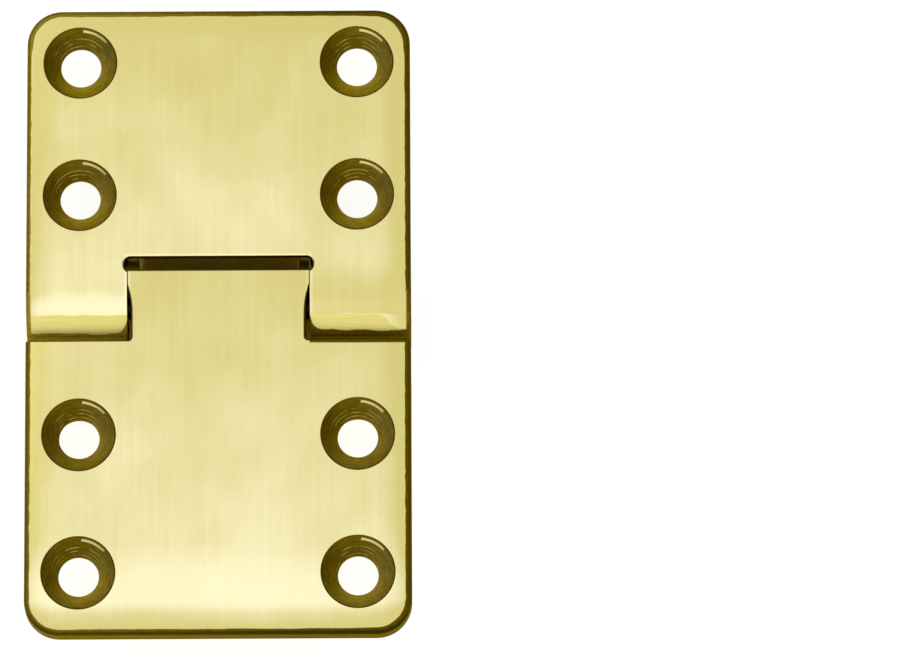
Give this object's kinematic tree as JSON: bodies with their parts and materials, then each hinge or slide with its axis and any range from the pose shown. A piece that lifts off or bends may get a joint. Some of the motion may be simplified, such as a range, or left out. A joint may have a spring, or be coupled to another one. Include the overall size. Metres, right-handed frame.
{
  "type": "butler tray hinge",
  "caption": "Brass butler tray hinge with rounded leaves, countersunk screw holes and a tongue between ears on a pin, held open or square by a riveted leaf spring on its back",
  "frame": {"origin": "under the middle of the open hinge, level with the ridge across its back, which is its lowest line", "axes": "+X across the hinge, along its pin; +Y towards the fixed leaf's far end; +Z out of the polished faces"},
  "size_m": [0.0382, 0.0636, 0.008],
  "materials": {
    "leaf_brass": "polished front, sanded back",
    "pin_steel": "bright drawn wire",
    "spring_steel": "blackened spring steel",
    "rivet_brass": "dull"
  },
  "bodies": {
    "fixed": {"fixed_leaf": "leaf_brass", "hinge_pin": "pin_steel", "leaf_spring": "spring_steel", "rivet_left": "rivet_brass", "rivet_right": "rivet_brass"},
    "swing": {"swing_leaf": "leaf_brass"}
  },
  "joints": [
    {"name": "leaf_swing", "type": "hinge", "parent": "fixed", "child": "swing", "pos_m": [0, 0.0022, 0.0039], "axis": [-1, 0, 0], "range_deg": [0, 90], "deforming": ["leaf_spring"]}
  ]
}
